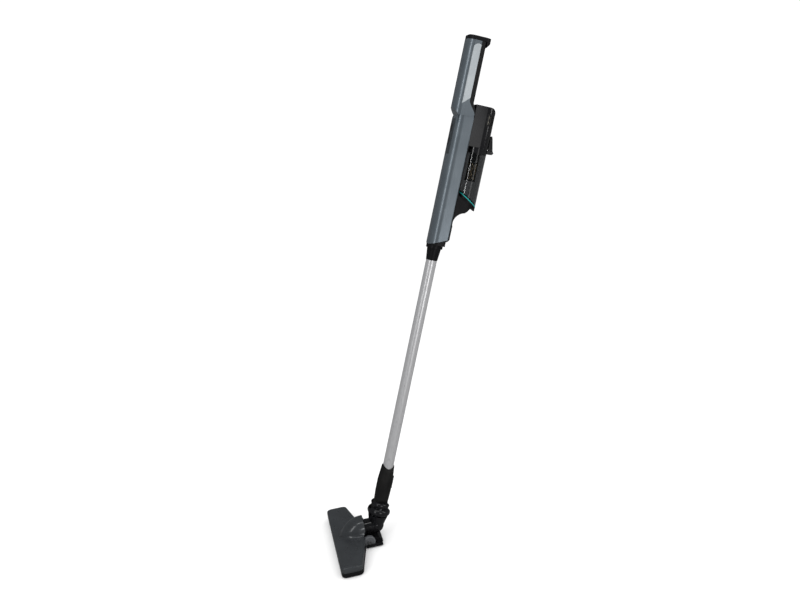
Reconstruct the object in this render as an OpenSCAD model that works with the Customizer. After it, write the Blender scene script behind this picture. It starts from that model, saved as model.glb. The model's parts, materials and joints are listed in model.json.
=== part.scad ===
// Cordless stick vacuum: handset with a removable dust cup, aluminium wand,
// jointed neck and a passive floor head. Origin on the floor, in the middle of
// the sole's rear runner, +X towards the rear, +Z up. The wand leans back.

/* [Stance] */
// Lean of the wand from the vertical at rest, degrees
lean = 19.9; // [15:0.1:30]
// Height of the neck hinge above the floor
neck_h = 70; // [68:1:80]

/* [Wand] */
// Outer diameter of the aluminium tube
tube_d = 22.5; // [22:0.5:23]
// Wall of the aluminium tube
tube_wall = 0.9; // [0.8:0.1:1.2]
// Lower edge of the handset, measured along the wand from the neck hinge
set_z = 571; // [500:1:620]

/* [Handset] */
// Length of the slim body, from the handset's lower edge to the grip
body_l = 260; // [256:1:280]
// Length of the grip, up to the end cap
grip_l = 145; // [140:1:165]
// Width of the body
body_w = 48; // [46:1:52]
// Width of the grip
grip_w = 44; // [44:1:46]
// Thickness of the moulded shells
wall = 2; // [1.8:0.1:2.2]
// Distance from the wand axis to the front of the body
body_front = 16.5; // [16.5:0.5:17.5]
// Distance from the wand axis to the front of the grip
grip_front = 24; // [24:0.5:26]
// Distance from the wand axis to the back of the body
body_back = 19.4; // [19.2:0.1:19.6]
// Distance from the wand axis to the back of the grip
grip_rear = 14; // [14:0.5:17]

/* [Motor and dust cup] */
// Distance from the wand axis to the axis of motor and dust cup
motor_x = 43.4; // [43:0.1:44]
// Outer radius of the motor housing
motor_r = 22.2; // [22:0.1:23.5]
// Height of the motor housing
motor_h = 81; // [80:1:88]
// Outer radius of the clear dust cup
cup_r = 21.6; // [21:0.1:21.8]
// Length of the clear dust cup on its front side
cup_l = 77; // [76:1:84]
// Slope of the dust cup's bottom, degrees
cup_slope = 32; // [30:1:35]
// Radius of the filter cartridge
filter_r = 10.2; // [9:0.1:12]

/* [Floor head] */
// Width of the floor head
head_w = 275; // [265:5:300]
// Front edge of the floor head, ahead of the neck hinge
head_front = 108; // [105:1:112]
// Depth of the head at its two ends
end_depth = 46; // [44:1:48]
// Height of the flat top of the head
head_h = 23; // [22:1:25]
// Height of the swivel axis above the floor
swivel_h = 32; // [31:1:34]
// Radius of the rear wheels
wheel_r = 12.5; // [11:0.5:13]

/* [Hidden] */
$fn = 64;
eps = 0.01;
gap = 0.3;                       // clearance between parts that move apart
fit = 0.05;                      // radial running clearance of a pin

// Heights along the wand, from the neck hinge
grip_z = set_z + body_l;         // grip starts
cap_z = grip_z + grip_l;         // end cap starts
cap_t = 8;
motor_z = grip_z - 54.5;          // lower face of the motor housing
cup_ring_h = 12;
cup_top = motor_z - gap;         // top of the ring on the dust cup
cup_z = cup_top - cup_ring_h - cup_l;
seal_t = 1.8;
lid_t = 5.8;
back_x = body_back + 1.6;        // rear face of the black spine
rib_x = body_back - 3;           // front face of the spine's inner rib

// Handset cross-sections
front_r = 17;                    // rounding of the body's two front edges
grip_r = 16;
rear_r = 2;
strip_x = 9.5;                   // joint of the grip shell and the soft back
notch = 13;                      // height of the chamfer under the grip
chin = 8;                        // height of the chamfer above the front panel
edge_rise = 14.7;                // rise of the shell's lower edge to the rear
panel_h = 70;
panel_w = 30;
panel_t = 1.4;
panel_z = grip_z - chin - panel_h;
clear_x = motor_x - cup_r;

// Batteries: the standard 18650 cell
cell_r = 9.2;
cell_h = 65;
cell_pitch = 66;
cell_x = -1.5;
plate_t = 6;                     // holder plates between the cells

// Buttons, latch and sockets
power_z = panel_z + 52;
mode_z = panel_z + 26;
button_r = 7;
release_z = set_z + 29;          // middle of the wand release button
release_h = 40;
release_w = 16;
release_out = 27;
release_in = body_back - 2;
spring_x = 13.5;                 // floor of the pocket under the button
spigot_r = 12.4;
spigot_h = 36;
socket_r = 14.2;
socket_h = 50;
collar_r = 14.3;
collar_h = 24.5;
flange_h = 7.3;
duct_r = 9.8;
knee_z = cup_z - 27;             // where the air duct turns to the rear
cell_z = knee_z + duct_r + 7.5;  // lowest row of cells
eye_r = 3.4;
eye_x = motor_x + cup_r + 9;
eye_z = cup_top - 4.6;
charge_z = grip_z + 56;
latch_h = 32;
latch_w = 11;
latch_x = motor_x + motor_r + 0.4;
latch_pin_r = 2.1;
shaft_r = 1.6;
motor_can_r = 17;
rotor_z = motor_z + 13;
motor_can_z = motor_z + 26;
motor_can_h = 36;

// Neck
sleeve_z = 36;                   // the sleeve's full width starts here
sleeve_r = 16.2;
mouth_z = 95;
mouth_r = 13.2;
tube_z = 48;                     // lower end of the tube, inside the sleeve
ball_r = 24.5;                   // hollow of the sleeve over the knuckle
knuckle_b = 17;                  // from the hinge down to the knuckle's foot
drum_r = 17.4;
drum_w = 17;
pin_r = 2.5;
pin_l = 35;
neck_x = -(neck_h - swivel_h) * tan(lean);
elbow_r = 17;
spigot_x = 51;
swivel_r = 16;
swivel_bore = 11;

// Floor head
base_h = 11;                     // joint of the grey cover and the black base
sole_h = 3;
hump_x = 40;                     // rear mouth of the hump, ahead of the hinge
hump_r = 24.5;
hump_l = 52;
mouth_t = 4;                     // depth of the round rear mouth
corner_r = 11;
bevel = 3;
slot_l = 236;
slot_w = 12;
slot_x = head_front - 22;
bristle_n = 46;
wheel_x = 35;
wheel_w = 9;
wheel_y = 32;
axle_r = 2;
well = wheel_r + 1;
well_w = wheel_w + 1.6;
heel_x = 6;
runner_x = -head_front + end_depth - 8;  // middle of the rear runner
hinge_x = -runner_x;

// ---- helpers ----

// Places wand parts: the hinge is their origin and +Z runs up the wand
module on_wand() { translate([hinge_x, 0, neck_h]) rotate([0, lean, 0]) children(); }

// Places the floor head: x is measured from the neck hinge
module in_head() { translate([hinge_x, 0, 0]) children(); }

// A side outline, points [x, z], extruded to width w across the object
module side_prism(points, w) {
    rotate([90, 0, 0]) linear_extrude(w, center = true) polygon(points);
}

// A cylinder across the object
module cross_pin(r, l, x, z) {
    translate([x, 0, z]) rotate([90, 0, 0]) cylinder(h = l, r = r, center = true);
}

// A cylinder along +Z from z
module post(r, h, x, z) { translate([x, 0, z]) cylinder(h = h, r = r); }

// Rectangle from x0 to x1, width w, with rounded front and rear corners
module rounded(x0, x1, w, rf, rb) {
    for (s = [-1, 1]) {
        translate([x0 + rf, s * (w / 2 - rf)]) circle(rf);
        translate([x1 - rb, s * (w / 2 - rb)]) circle(rb);
    }
    translate([x0, -w / 2 + rf]) square([rf + eps, w - 2 * rf]);
    translate([x1 - rb - eps, -w / 2 + rb]) square([rb + eps, w - 2 * rb]);
    translate([x0 + rf, -w / 2]) square([x1 - rb - x0 - rf, w]);
}

module body_profile(inset = 0, back = body_back) {
    rounded(-body_front + inset, back, body_w - 2 * inset, front_r - inset, rear_r);
}

module grip_profile(inset = 0, back = body_back) {
    rounded(-grip_front + inset, back, grip_w - 2 * inset, grip_r - inset, rear_r);
}

// Height of the shell's sloping lower edge at x
function edge_at(x) = set_z + edge_rise * (x + body_front) / (body_front + body_back);

// Everything below that sloping edge
module below_edge() {
    side_prism([[-40, set_z - 60], [-40, edge_at(-40)], [60, edge_at(60)], [60, set_z - 60]], 100);
}

// Slab parallel to the sloping bottom of the dust cup, d0 to d1 below it
module cup_slab(d0, d1) {
    translate([clear_x, 0, cup_z]) rotate([0, cup_slope, 0])
        translate([-60, -60, -d1]) cube([180, 120, d1 - d0]);
}

// Screw pointing along +Z, its flat head just below z = 0
module screw(r, l) {
    head_t = 1.6;
    translate([0, 0, -head_t / 2]) cylinder(h = l + head_t / 2, r = r, $fn = 24);
    translate([0, 0, -head_t]) cylinder(h = head_t - fit, r = 2 * r, $fn = 24);
}

// ---- handset ----

// Outer form of the grey shell: slim body, chamfered step and grip
module shell_form() {
    intersection() {
        translate([0, 0, set_z]) linear_extrude(body_l) body_profile();
        side_prism([[-body_front - 1, set_z], [-body_front - 1, grip_z - chin - 2],
            [-body_front, grip_z - chin], [-body_front + chin * 0.4, grip_z],
            [body_back, grip_z], [body_back, set_z]], body_w + 2);
    }
    intersection() {
        translate([0, 0, grip_z - eps]) linear_extrude(grip_l + eps) grip_profile();
        side_prism([[-body_front + chin * 0.4, grip_z - eps], [-grip_front, grip_z + notch],
            [-grip_front, cap_z], [strip_x, cap_z], [strip_x, grip_z + 2.5 * notch],
            [body_back, grip_z + notch], [body_back, grip_z - eps]], grip_w + 2);
    }
}

module front_shell() {
    color("#5c666d") on_wand() difference() {
        shell_form();
        below_edge();
        difference() {
            translate([0, 0, set_z - 1]) linear_extrude(body_l - chin)
                body_profile(wall, body_back + 4);
            screw_bosses();
        }
        intersection() {
            translate([0, 0, grip_z - 2 * chin]) linear_extrude(grip_l + 2 * chin + 1)
                grip_profile(wall, body_back + 4);
            side_prism([[-body_front + wall + 3, grip_z - 2 * chin], [-body_front + wall + 3, grip_z],
                [-grip_front + wall, grip_z + notch + 2], [-grip_front + wall, cap_z + 1],
                [body_back + 4, cap_z + 1], [body_back + 4, grip_z - 2 * chin]], grip_w);
        }
        panel_cut(0);
        button_holes();
        for (s = [-1, 1]) trim_cut(s, 0);
        spine_screw_places() screw_hole();
    }
}

// Places of the screws that hold the spine, +Z pointing into the shell
module spine_screw_places() {
    for (s = [-1, 1], z = [set_z + 45, motor_z - 42])
        translate([back_x - 1.6, s * 19, z]) rotate([0, -90, 0]) children();
}

module screw_bosses() {
    spine_screw_places() translate([-3.5, -4, back_x - 1.6 - rib_x + 0.2]) cube([7, 8, 8]);
}

// Clearance bore of a spine screw, with room for its head
module screw_hole() {
    cylinder(h = 20, r = 1.4, $fn = 24);
    translate([0, 0, -4]) cylinder(h = 4, r = 2.8, $fn = 24);
}

// Room of the front panel in the shell, or the panel itself with a small inset
module panel_cut(inset) {
    intersection() {
        translate([0, 0, panel_z + inset]) linear_extrude(panel_h - 2 * inset) difference() {
            body_profile(-1);
            body_profile(panel_t - inset);
        }
        translate([-body_front - 2, -panel_w / 2 + inset, panel_z - 1])
            cube([12, panel_w - 2 * inset, panel_h + 2]);
    }
}

// Flat side panel of the grip, with a round top end
module trim_cut(side, inset) {
    depth = 1.2 - inset;
    x0 = -grip_front + 13 + inset;
    x1 = strip_x - 2 - inset;
    top = cap_z - 6 - inset;
    translate([0, side * (grip_w / 2 - depth / 2 + eps), 0]) {
        cross_pin((x1 - x0) / 2, depth, (x0 + x1) / 2, top - (x1 - x0) / 2);
        side_prism([[x0, grip_z + notch + 9], [x0, top - (x1 - x0) / 2],
            [x1, top - (x1 - x0) / 2], [x1, grip_z + 3 * notch]], depth);
    }
}

module side_trim(side) {
    color("#9aa3a9") on_wand() intersection() {
        trim_cut(side, 0.1);
        translate([0, 0, grip_z]) linear_extrude(grip_l) grip_profile();
    }
}
module side_trim_left() { side_trim(-1); }
module side_trim_right() { side_trim(1); }

module front_panel() {
    color("#33383c") on_wand() difference() {
        intersection() {
            panel_cut(0.1);
            translate([0, 0, panel_z]) linear_extrude(panel_h) body_profile();
        }
        button_holes();
    }
}

module button_holes() {
    for (z = [power_z, mode_z])
        translate([-body_front - 2, 0, z]) rotate([0, 90, 0]) cylinder(h = 6, r = button_r + 0.4);
}

// Push button of the front panel: a round cap with a guide stem
module panel_button(z) {
    on_wand() translate([-body_front - 0.6, 0, z]) rotate([0, 90, 0]) {
        cylinder(h = 3.2, r = button_r);
        cylinder(h = 3.8, r = 2);
    }
}
module power_button() { color("#202326") panel_button(power_z); }
module mode_button() { color("#202326") panel_button(mode_z); }

// Flat cap whose rear edge flares out as a hook
module end_cap() {
    hook = 8.8;
    color("#121314") on_wand() {
        intersection() {
            translate([0, 0, cap_z - 12]) linear_extrude(cap_t + 12)
                rounded(-grip_front + 0.6, grip_rear + hook, grip_w, grip_r - 2, 12);
            side_prism([[-grip_front + 0.6, cap_z + gap], [-grip_front + 0.6, cap_z + cap_t - 1],
                [-grip_front + 1.6, cap_z + cap_t], [grip_rear + hook - 1, cap_z + cap_t],
                [grip_rear + hook, cap_z + cap_t - 1], [grip_rear + hook, cap_z - 1],
                [grip_rear + gap, cap_z - 11], [grip_rear + gap, cap_z + gap]], grip_w + 2);
        }
        translate([0, 0, cap_z - 5]) linear_extrude(5 + 2 * gap) difference() {
            grip_profile(wall + 0.1, strip_x - 1);
            grip_profile(2 * wall + 0.1, strip_x - 3);
        }
    }
}

// Soft back of the grip, closing the shell's open side
module grip_back() {
    color("#1b1c1d") on_wand() difference() {
        intersection() {
            translate([0, 0, grip_z]) linear_extrude(grip_l)
                rounded(strip_x - 8, grip_rear, grip_w, 2, 7);
            side_prism([[strip_x + 0.1, grip_z + 2.5 * notch + 0.2], [strip_x + 0.1, cap_z],
                [body_back, cap_z], [body_back, grip_z + notch + 0.3]], grip_w + 2);
        }
        translate([0, 0, grip_z]) linear_extrude(grip_l - 2)
            rounded(strip_x - 12, grip_rear - 3, grip_w - 6, 2, 4);
        translate([0, 0, charge_z]) rotate([0, 90, 0]) cylinder(h = 40, r = 4.5);
    }
}

// Black spine closing the back of the body, with a seat for the release button
module rear_spine() {
    color("#17181a") on_wand() difference() {
        union() {
            intersection() {
                translate([0, 0, set_z + 16]) linear_extrude(motor_z - set_z - 16.5)
                    rounded(body_back + 0.1, back_x, body_w - 1, 0.6, 0.6);
                side_prism([[body_back, edge_at(body_back) + 0.5], [body_back, motor_z],
                    [back_x, motor_z], [back_x, edge_at(back_x) + 1.5]], body_w);
            }
            translate([rib_x, -body_w / 2 + wall + 0.2, edge_at(body_back) + 4])
                cube([3.2, body_w - 2 * wall - 0.4, motor_z - edge_at(body_back) - 6]);
        }
        spine_screw_places() screw_hole();
        translate([body_back - 5, -release_w / 2 - 0.4, release_z - release_h / 2 - 0.4])
            cube([12, release_w + 0.8, release_h + 0.8]);
        translate([rib_x - 1, 0, knee_z]) rotate([0, 90, 0]) cylinder(h = 9, r = duct_r);
        translate([body_back - 5, -6, motor_z - 26]) cube([12, 12, 14]);
    }
}

// Outline of the motor housing seen along the wand
module housing_profile(inset = 0) {
    translate([motor_x, 0]) circle(motor_r - inset);
    translate([body_back + 0.1 + inset, -motor_r + inset])
        square([motor_x - body_back - inset, 2 * (motor_r - inset)]);
}

// Rounds the housing's top rear edge: a side outline with a quarter circle
module housing_side(inset, x0) {
    round_r = 15 - inset;
    top = motor_z + motor_h - inset;
    back = motor_x + motor_r - inset;
    side_prism(concat([[x0, motor_z + inset - 2 * wall], [x0, top]],
        [for (a = [90:-10:0]) [back - round_r + round_r * cos(a), top - round_r + round_r * sin(a)]],
        [[back, motor_z + inset - 2 * wall]]), body_w + 4);
}

module motor_housing() {
    vent_x = motor_x + 2;
    color("#0f1011") on_wand() difference() {
        intersection() {
            translate([0, 0, motor_z]) linear_extrude(motor_h) housing_profile();
            housing_side(0, body_back);
        }
        intersection() {
            translate([0, 0, motor_z + 3]) linear_extrude(motor_h) housing_profile(wall);
            housing_side(wall, body_back);
        }
        post(duct_r, 8, motor_x, motor_z - 2);
        translate([vent_x, -body_w, motor_z + 44]) cube([40, 2 * body_w, 24]);
        side_prism([[motor_x + motor_r - 1.6, motor_z + 15], [motor_x + motor_r - 1.6, motor_z + 28],
            [motor_x + motor_r + 2, motor_z + 28], [motor_x + motor_r + 2, motor_z + 10]],
            latch_w + 2);
        translate([body_back - 1, -8, motor_z + 60]) cube([wall + 3, 16, 14]);
    }
}

// Half-round exhaust grille with rows of vertical slots
module exhaust_grille() {
    rows = 2;
    slots = 15;
    color("#1d1f21") on_wand() difference() {
        intersection() {
            translate([0, 0, motor_z + 44.2]) linear_extrude(23.6) difference() {
                housing_profile(0.2);
                housing_profile(wall);
            }
            translate([motor_x + 2.2, -body_w, motor_z]) cube([60, 2 * body_w, motor_h]);
        }
        for (i = [0:slots - 1], j = [0:rows - 1])
            translate([motor_x, 0, motor_z + 46.5 + j * 10])
                rotate([0, 0, -72 + i * 144 / (slots - 1)])
                    translate([motor_r - 4, -1.1, 0]) cube([8, 2.2, 8.5]);
    }
}

module exhaust_filter() {
    color("#c9c4b4") on_wand() difference() {
        post(motor_r - wall - 0.4, 22, motor_x, motor_z + 45);
        post(motor_can_r + 0.2, 24, motor_x, motor_z + 44);
        translate([motor_x - 60, -50, motor_z + 40]) cube([62.4, 100, 40]);
    }
}

module motor_can() {
    color("#a9adb0") on_wand() difference() {
        union() {
            post(motor_can_r, motor_can_h, motor_x, motor_can_z);
            post(6, 4, motor_x, motor_can_z + motor_can_h - eps);
        }
        post(shaft_r + fit, motor_can_h + 10, motor_x, motor_can_z - 1);
        post(motor_can_r - 7, motor_can_h - 6, motor_x, motor_can_z + 3);
    }
}

// Rubber collar and bulkhead that carry the motor in its housing
module motor_mount() {
    color("#26282a") on_wand() difference() {
        post(motor_r - wall - 0.1, 8, motor_x, motor_can_z + 2);
        post(motor_can_r, 12, motor_x, motor_can_z);
    }
}

module motor_shaft() {
    color("#c4c8cb") on_wand()
        post(shaft_r, motor_can_z + motor_can_h + 3 - rotor_z + 2, motor_x, rotor_z - 2);
}

// Radial fan wheel: two discs with blades between them
module impeller() {
    blades = 9;
    color("#d8dadb") on_wand() translate([motor_x, 0, rotor_z]) difference() {
        union() {
            cylinder(h = 1.2, r = 17.5);
            cylinder(h = 8, r = 4);
            translate([0, 0, 6.8]) cylinder(h = 1.2, r = 17.5);
            for (i = [0:blades - 1]) rotate([0, 0, i * 360 / blades])
                translate([3, -0.5, 0.6]) cube([14, 1, 6.8]);
        }
        translate([0, 0, -1]) difference() {
            cylinder(h = 3, r = 8);
            cylinder(h = 3, r = 4);
        }
        translate([0, 0, -1]) cylinder(h = 12, r = shaft_r);
    }
}

// Fairing under the dust cup that leads the dirty air into it
module inlet_hood() {
    foot_z = set_z + 54;
    bore_r = duct_r - 1.8;
    color("#141516") on_wand() difference() {
        intersection() {
            side_prism([[back_x + 0.1, foot_z], [back_x + 0.1, cup_z + 20], [60, cup_z + 20],
                [60, foot_z + 30], [52, foot_z + 32], [46.5, foot_z + 24]], body_w);
            translate([0, 0, foot_z]) linear_extrude(120) {
                translate([motor_x, 0]) circle(cup_r);
                translate([back_x, -cup_r]) square([motor_x - back_x, 2 * cup_r]);
            }
        }
        cross_pin(25, body_w, 46, foot_z - 5);
        cup_slab(-80, seal_t + lid_t + gap);
        translate([back_x - 4, 0, knee_z]) rotate([0, 90, 0]) cylinder(h = 11, r = bore_r);
        translate([back_x + 7, 0, knee_z]) sphere(bore_r + 0.4);
        translate([back_x + 7, 0, knee_z]) rotate([0, cup_slope, 0]) cylinder(h = 30, r = bore_r);
    }
}

// Duct from the wand socket up to the inlet hood
module air_duct() {
    color("#2a2d2f") on_wand() difference() {
        union() {
            post(duct_r + 1.5, knee_z - set_z - 38, 2, set_z + 42);
            translate([2, 0, knee_z]) sphere(duct_r + 2.2);
            translate([2, 0, knee_z]) rotate([0, 90, 0])
                cylinder(h = body_back - 5.5, r = duct_r - 0.2);
        }
        post(duct_r, knee_z - set_z - 39, 2, set_z + 40);
        translate([2, 0, knee_z]) sphere(duct_r + 0.6);
        translate([2, 0, knee_z]) rotate([0, 90, 0]) cylinder(h = 30, r = duct_r - 1.8);
    }
}

// Six 18650 cells in three rows of two
module battery_cells() {
    color("#2f6f9f") on_wand()
        for (row = [0:2], s = [-1, 1]) translate([cell_x, s * (cell_r + 0.4), cell_z + row * cell_pitch]) {
            cylinder(h = cell_h - 1, r = cell_r - 0.2);
            cylinder(h = cell_h, r = 3);
        }
}

// Frame between the rows of cells, with a backbone behind them
module battery_holder() {
    color("#3a3d40") on_wand() difference() {
        union() {
            for (row = [0:3]) translate([0, 0, cell_z - 4 + row * cell_pitch]) linear_extrude(plate_t)
                rounded(cell_x - cell_r - 0.8, cell_x + cell_r + 1.4, 4 * cell_r + 2, cell_r, 1);
            translate([cell_x + cell_r + 0.4, -8, cell_z - 4])
                cube([2, 16, 3 * cell_pitch + plate_t]);
        }
        for (row = [-1:2], s = [-1, 1]) translate([0, s * (cell_r + 0.4), 0])
            post(cell_r, cell_h + 0.6, cell_x, cell_z - 0.3 + row * cell_pitch);
    }
}

module control_board() {
    color("#1f5a3a") on_wand() {
        translate([-6, -14, grip_z + 50]) cube([1.6, 28, 80]);
        translate([-4.5, -8, grip_z + 60]) cube([5, 16, 12]);
        for (i = [0:3]) translate([-4.5, -11 + 6 * i, grip_z + 84]) cube([2.4, 4, 6]);
        translate([-4.5, 0, grip_z + 100]) rotate([0, 90, 0]) cylinder(h = 9, r = 5);
    }
}

// Charging socket in the back of the grip's lower end
module charge_socket() {
    color("#0c0d0e") on_wand() difference() {
        translate([grip_rear - 11, 0, charge_z]) rotate([0, 90, 0]) cylinder(h = 10.8, r = 4.5);
        translate([grip_rear - 9, 0, charge_z]) rotate([0, 90, 0]) cylinder(h = 12, r = 2.8);
    }
}

// Screws that hold the spine to the shell
module handset_screws() { color("#b9bcbe") on_wand() spine_screw_places() screw(1.3, 9); }

// Black end of the handset: flange, plug inside the shell and socket tube
module wand_socket() {
    color("#101112") on_wand() difference() {
        union() {
            post(body_front + 0.4, flange_h, 0, set_z - flange_h);
            translate([0, 0, set_z - eps]) linear_extrude(24) body_profile(wall + 0.1, rib_x - 0.2);
            post(socket_r, socket_h, 0, set_z);
        }
        post(spigot_r + gap, spigot_h + 20, 0, set_z - 10);
        post(duct_r + 1.6, 20, 2, set_z + 41.9);
        translate([spring_x, -release_w / 2 - 0.4, release_z - release_h / 2 - 0.4])
            cube([12, release_w + 0.8, release_h + 0.8]);
    }
}

// Ribbed button on the back that frees the wand
module release_button() {
    z0 = release_z - release_h / 2;
    color("#1a1b1c") on_wand() difference() {
        intersection() {
            side_prism([[release_in, z0], [body_back + 2, z0], [release_out, z0 + 6],
                [release_out, z0 + release_h - 6], [body_back + 2, z0 + release_h],
                [release_in, z0 + release_h]], release_w);
            translate([0, 0, z0]) linear_extrude(release_h)
                rounded(body_back - 4, release_out, release_w, 1, 4);
        }
        for (i = [0:4]) translate([release_out - 0.7, -release_w, z0 + 11 + i * 4])
            cube([2, 2 * release_w, 1.6]);
    }
}

// Leaf spring behind the release button, drawn at its working height
module release_spring() {
    leaf = 0.6;
    bow = 1.6;
    half = release_h / 2 - 3;
    color("#c7cacc") on_wand() translate([spring_x + gap / 3, 0, release_z])
        side_prism([[0, -half], [bow, -half / 2], [bow, half / 2], [0, half], [0, half - 2],
            [bow - leaf, half / 2 - 1], [bow - leaf, 1 - half / 2], [0, 2 - half]], release_w - 6);
}

// ---- dust cup ----

// The cup's outer form: a cylinder above its sloping bottom
module cup_form(r, d0, d1) {
    intersection() {
        post(r, cup_top - cup_z + 60, motor_x, cup_z - 60);
        cup_slab(d0, d1);
    }
}

module dust_cup() {
    color("#7d868a", 0.5) on_wand() difference() {
        intersection() {
            post(cup_r, cup_l + 60 - 0.1, motor_x, cup_z - 60);
            cup_slab(-2 * cup_l, 0);
        }
        post(cup_r - wall, cup_l + 61, motor_x, cup_z - 60);
    }
}

// Black ring on top of the cup, with the two lugs of the latch
module cup_top_ring() {
    color("#0e0f10") on_wand() difference() {
        union() {
            post(cup_r + 0.1, cup_ring_h, motor_x, cup_top - cup_ring_h);
            for (s = [-1, 1]) translate([0, s * (latch_w / 2 + gap + 1.4), 0])
                side_prism([[motor_x + 8, cup_top - 9], [motor_x + 8, cup_top - 1],
                    [eye_x + 1, cup_top - 1], [eye_x + 3.4, eye_z], [eye_x, eye_z - 3.4]], 2.8);
        }
        post(cup_r - wall, cup_ring_h + 2, motor_x, cup_top - cup_ring_h - 1);
        cross_pin(latch_pin_r, 40, eye_x, eye_z);
    }
}

// Green seal between the cup and its lid
module cup_seal() {
    color("#1f8f86") on_wand() difference() {
        cup_form(cup_r + 0.3, 0, seal_t);
        cup_form(cup_r - wall - 1, -5, seal_t + 5);
    }
}

// Sloping lid of the cup, with its inlet port and the bore of its hinge pin
module cup_lid() {
    color("#101112") on_wand() difference() {
        union() {
            cup_form(cup_r, seal_t, seal_t + lid_t);
            intersection() {
                cup_form(cup_r - wall - 1.2, -3, seal_t + 1);
                post(cup_r - wall - 1.2, 100, motor_x, cup_z - 60);
            }
        }
        translate([clear_x, 0, cup_z]) rotate([0, cup_slope, 0])
            translate([20, 0, -40]) cylinder(h = 80, r = duct_r - 1.8);
        lid_bore();
    }
}

// Bore across the lid's lower rear edge for its hinge pin
module lid_bore() {
    translate([clear_x, 0, cup_z]) rotate([0, cup_slope, 0])
        cross_pin(1.2, 60, 43, -seal_t - lid_t / 2);
}

module lid_pin() {
    color("#b9bcbe") on_wand() translate([clear_x, 0, cup_z]) rotate([0, cup_slope, 0])
        cross_pin(1.2, 22, 43, -seal_t - lid_t / 2);
}

// Cage of the filter: top disc under the ring, ribs and a bottom rim
module filter_frame() {
    top = cup_top - cup_ring_h;
    color("#131415") on_wand() difference() {
        union() {
            post(cup_r - wall - 0.1, 3, motor_x, top);
            post(filter_r, 20, motor_x, top - 19);
            post(filter_r + 0.8, 3.5, motor_x, top - 55);
            for (a = [0:45:315]) translate([motor_x, 0, top - 53]) rotate([0, 0, a])
                translate([filter_r - 1, -0.6, 0]) cube([1.2, 1.2, 40]);
        }
        post(filter_r - 2, 30, motor_x, top - 25);
        post(filter_r - 1.2, 34, motor_x, top - 51.5);
    }
}

// Pleated paper element of the filter
module filter_element() {
    pleats = 24;
    top = cup_top - cup_ring_h;
    color("#cdb98f") on_wand() translate([motor_x, 0, top - 51.3]) difference() {
        linear_extrude(32) polygon([for (i = [0:2 * pleats - 1])
            (i % 2 == 0 ? filter_r - 1.4 : filter_r - 3)
                * [cos(i * 180 / pleats), sin(i * 180 / pleats)]]);
        translate([0, 0, -1]) cylinder(h = 34, r = filter_r - 5);
    }
}

// Clasp lever with a ring at its lower end, hinged on the cup's ring
module cup_latch() {
    color("#1c1d1e") on_wand() difference() {
        union() {
            cross_pin(eye_r, latch_w, eye_x, eye_z);
            side_prism([[eye_x - 2.6, eye_z - 0.6], [latch_x + 1.6, eye_z + 6], [latch_x, eye_z + 9],
                [latch_x, eye_z + latch_h], [latch_x + 2.6, eye_z + latch_h + 0.8],
                [latch_x + 4.4, eye_z + latch_h - 4], [eye_x + 2, eye_z + 2.6]], latch_w);
            side_prism([[latch_x + eps, eye_z + 21.5], [latch_x - 1.4, eye_z + 25],
                [latch_x - 1.4, eye_z + 26.5], [latch_x + eps, eye_z + 27]], latch_w - 2);
        }
        cross_pin(latch_pin_r + fit, latch_w + 2, eye_x, eye_z);
    }
}

// Tubular hinge pin of the latch
module latch_pin() {
    color("#c4c8cb") on_wand() difference() {
        cross_pin(latch_pin_r, latch_w + 2 * gap + 5.6, eye_x, eye_z);
        cross_pin(latch_pin_r - 0.5, latch_w + 8, eye_x, eye_z);
    }
}

// ---- wand and neck ----

// Black taper at the top of the tube, with the spigot inside the handset
module wand_collar() {
    z0 = set_z - flange_h - gap;
    color("#131415") on_wand() difference() {
        union() {
            translate([0, 0, z0 - collar_h]) cylinder(h = collar_h, r1 = tube_d / 2 + 0.5, r2 = collar_r);
            post(spigot_r, spigot_h + flange_h, 0, z0 - eps);
        }
        post(tube_d / 2, collar_h, 0, z0 - collar_h - 5);
        post(duct_r, spigot_h + flange_h + collar_h, 0, z0 - collar_h);
        translate([spigot_r - 1.2, -3, release_z]) cube([4, 6, 40]);
    }
}

module wand_tube() {
    color("#c3c6c9") on_wand() difference() {
        post(tube_d / 2, set_z - flange_h - gap - 5 - tube_z, 0, tube_z);
        post(tube_d / 2 - tube_wall, set_z, 0, tube_z - 5);
    }
}

// Sleeve on the lower end of the tube, with the drum of the neck hinge
module neck_sleeve() {
    color("#1a1b1c") on_wand() difference() {
        intersection() {
            rotate_extrude() polygon([[0, 8], [sleeve_r - 1.4, 8], [sleeve_r, sleeve_z],
                [sleeve_r, sleeve_z + 26], [mouth_r, mouth_z], [0, mouth_z]]);
            union() {
                translate([0, 0, mouth_z - mouth_r - 0.6]) rotate([0, 90, 0])
                    cylinder(h = 60, r = mouth_r + 0.6, center = true);
                translate([-30, -30, 0]) cube([60, 60, mouth_z - mouth_r - 0.6]);
            }
        }
        difference() {
            sphere(ball_r);
            cross_pin(ball_r + 5, drum_w, 0, 0);
        }
        sleeve_cuts();
    }
    color("#1a1b1c") on_wand() difference() {
        cross_pin(drum_r, drum_w, 0, 0);
        sleeve_cuts();
        cross_pin(pin_r + fit, drum_w + 2, 0, 0);
    }
}

// Tube bore, airway and button seat shared by the sleeve and its drum
module sleeve_cuts() {
    post(tube_d / 2 + 0.1, mouth_z, 0, tube_z - 0.5);
    post(drum_w / 2 - 1.5, mouth_z, 0, -drum_r - 5);
    translate([sleeve_r - 4.4, -5.4, 46]) cube([12, 10.8, 26.8]);
}

// Recessed button that frees the tube from the sleeve
module sleeve_button() {
    color("#0d0e0e") on_wand() difference() {
        translate([sleeve_r - 3.2, -5, 46.4]) cube([3.4, 10, 26]);
        for (i = [0:3]) translate([sleeve_r - 0.3, -6, 50 + i * 5.5]) cube([2, 12, 2]);
    }
}

module knuckle_pin() { color("#b9bcbe") on_wand() cross_pin(pin_r, pin_l, 0, 0); }

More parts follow.
